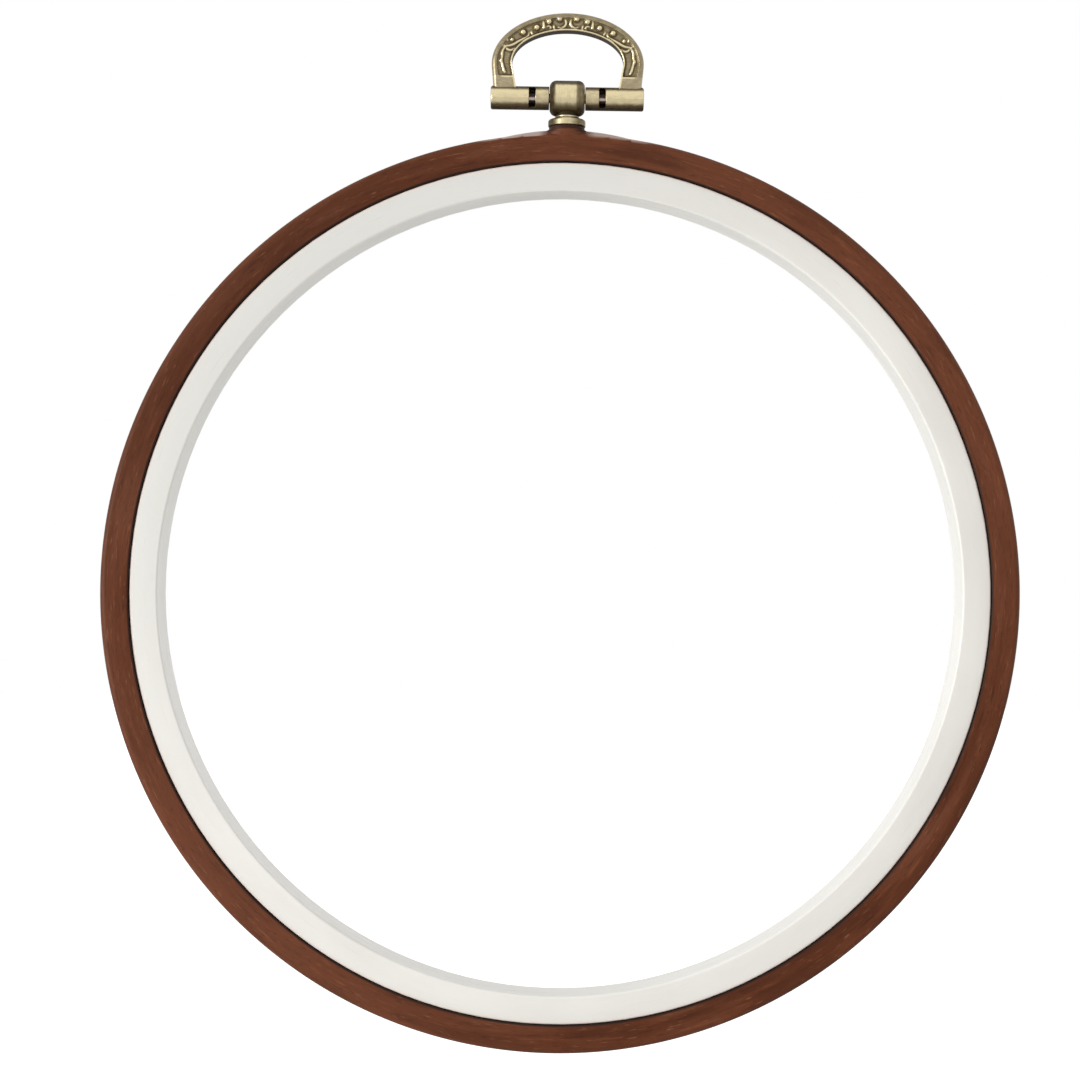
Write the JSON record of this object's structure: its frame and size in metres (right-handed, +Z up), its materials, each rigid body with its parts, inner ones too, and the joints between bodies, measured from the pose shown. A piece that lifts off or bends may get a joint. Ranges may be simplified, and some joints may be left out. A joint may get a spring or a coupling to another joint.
{
  "type": "embroidery hoop",
  "caption": "Round embroidery hoop: a soft wood-look outer ring over a rigid white inner ring, with a beaded brass hanger that swivels and folds on a knob.",
  "frame": {"origin": "the point at the top of the hanger's opening that a nail or hook bears on, at mid thickness of the hanger", "axes": "+Z up, from the hoop to its hanger; -Y is the hoop's front and +Y its back; +X across, to the right as seen from the front"},
  "size_m": [0.1742, 0.0095, 0.1975],
  "materials": {
    "soft_wood_look": "soft vinyl with a printed dark wood grain, satin",
    "white_plastic": "rigid white plastic, satin to gloss",
    "antique_brass": "antique brass plating, brushed on the high places and dark in the recesses",
    "plated_steel": "bright plated steel"
  },
  "bodies": {
    "hanger": {"bail": "antique_brass", "cross_pin": "plated_steel"},
    "swivel": {"swivel_knob": "antique_brass", "stud_screw": "plated_steel"},
    "soft_ring": {"outer_ring": "soft_wood_look", "ferrule": "antique_brass", "head_washer": "plated_steel"},
    "rigid_ring": {"inner_ring": "white_plastic"}
  },
  "joints": [
    {"name": "hanger_fold", "type": "hinge", "parent": "hanger", "child": "swivel", "pos_m": [0, 0, -0.0127], "axis": [1, 0, 0], "range_deg": [-110, 110]},
    {"name": "hanger_swivel", "type": "hinge", "parent": "swivel", "child": "soft_ring", "pos_m": [0, 0, -0.0189], "axis": [0, 0, 1], "continuous": true},
    {"name": "ring_release", "type": "slide", "parent": "soft_ring", "child": "rigid_ring", "axis": [0, 1, 0], "range_m": [0, 0.012]}
  ]
}
